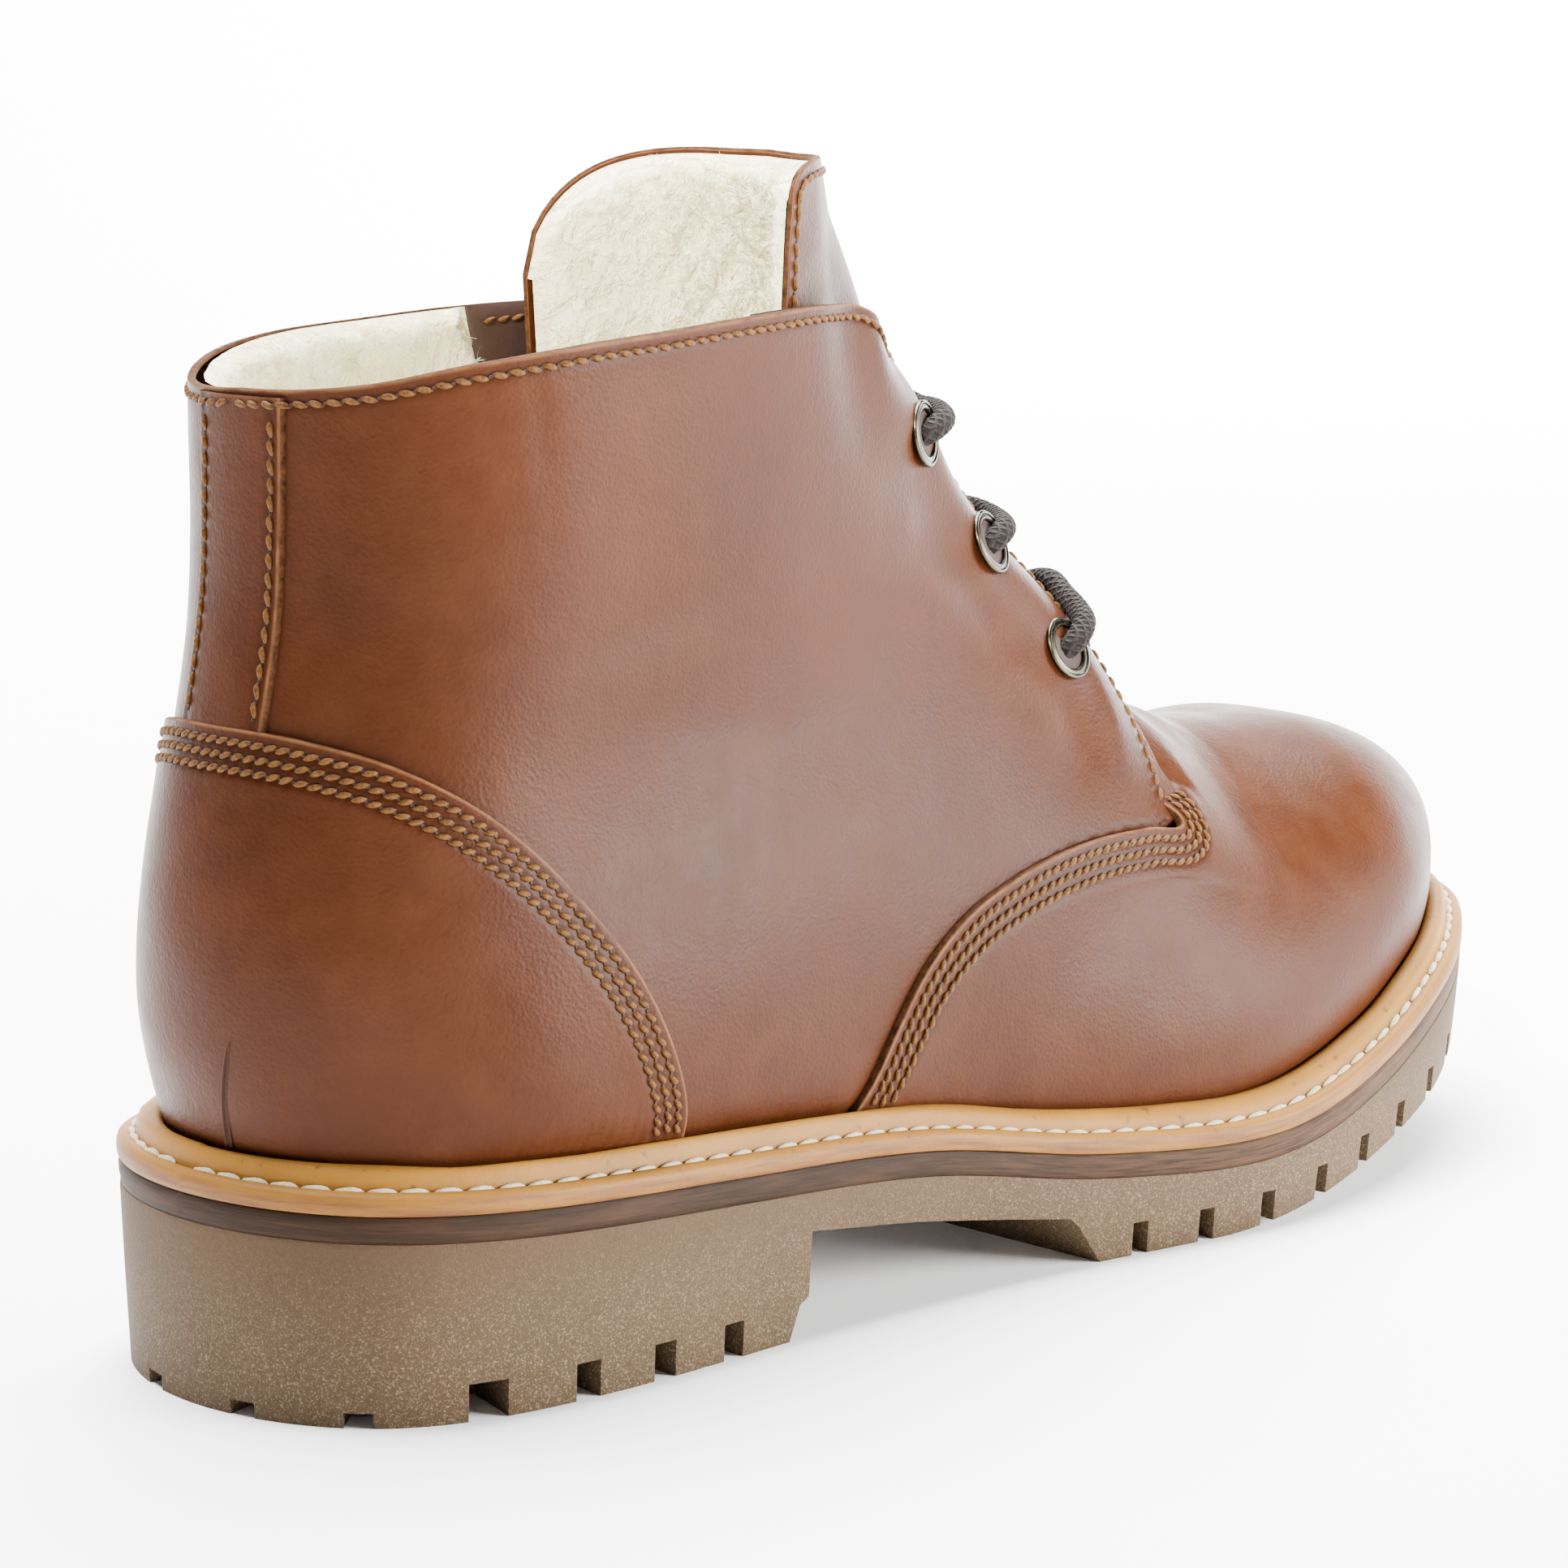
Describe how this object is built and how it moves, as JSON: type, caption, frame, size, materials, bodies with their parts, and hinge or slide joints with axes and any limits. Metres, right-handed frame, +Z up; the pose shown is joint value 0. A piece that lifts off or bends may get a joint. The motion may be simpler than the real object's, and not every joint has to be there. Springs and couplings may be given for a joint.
{
  "type": "lace-up ankle boot",
  "caption": "Men's leather ankle boot for the right foot: hollow fleece-lined upper with tongue, laces, heel counter, stitched welt and lugged rubber sole with a separate heel block.",
  "frame": {"origin": "on the floor plane, under the middle of the sole's overall length and width", "axes": "+X from heel to toe, +Y to the medial (inner) side, +Z up; the boot stands on its heel block and forefoot at Z = 0"},
  "size_m": [0.3046, 0.1106, 0.1852],
  "materials": {
    "rubber_outsole": "matt, with a fine pale speckle",
    "midsole_dark": "matt, brushed along its length",
    "welt_tan": "natural, waxed edge",
    "leather_cognac": "smooth, lightly waxed",
    "fleece_cream": "soft pile",
    "eyelet_metal": "antique satin",
    "lace_brown": "woven, waxed"
  },
  "bodies": {
    "root": {"outsole": "rubber_outsole", "midsole": "midsole_dark", "welt": "welt_tan", "insole": "fleece_cream", "upper": "leather_cognac", "heel_counter": "leather_cognac", "back_strip": "leather_cognac", "tongue": "leather_cognac", "eyelet_lateral_1": "eyelet_metal", "eyelet_lateral_2": "eyelet_metal", "eyelet_lateral_3": "eyelet_metal", "eyelet_medial_1": "eyelet_metal", "eyelet_medial_2": "eyelet_metal", "eyelet_medial_3": "eyelet_metal", "lace_crossing_1": "lace_brown", "lace_crossing_2": "lace_brown", "lace_crossing_3": "lace_brown"}
  },
  "joints": []
}
